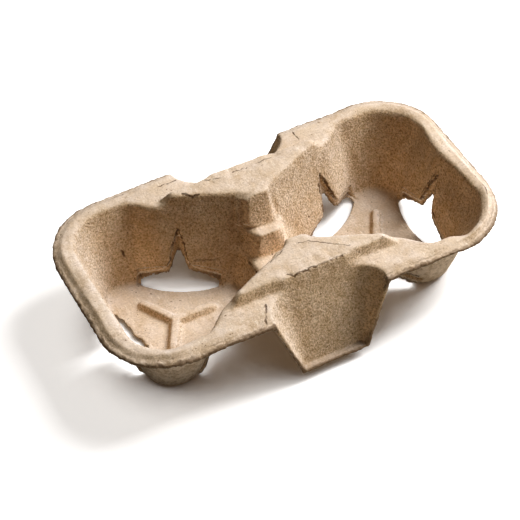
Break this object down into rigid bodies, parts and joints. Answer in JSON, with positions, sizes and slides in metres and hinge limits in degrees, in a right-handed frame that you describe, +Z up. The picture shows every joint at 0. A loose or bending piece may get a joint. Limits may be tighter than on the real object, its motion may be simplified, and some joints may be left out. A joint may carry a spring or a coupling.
{
  "type": "two-cup carrier",
  "caption": "Moulded pulp tray that carries cups in tapered wells side by side, with raised ridges, a stepped saddle between the wells and a scooped finger recess on each long side.",
  "frame": {"origin": "on the ground under the middle of the carrier", "axes": "+X runs along the carrier from one well to the other, +Y across it towards one finger recess, +Z up out of the wells"},
  "size_m": [0.215, 0.1244, 0.052],
  "materials": {
    "pulp": "matt, fibrous moulded pulp"
  },
  "bodies": {
    "root": {"cup_carrier": "pulp"}
  },
  "joints": []
}
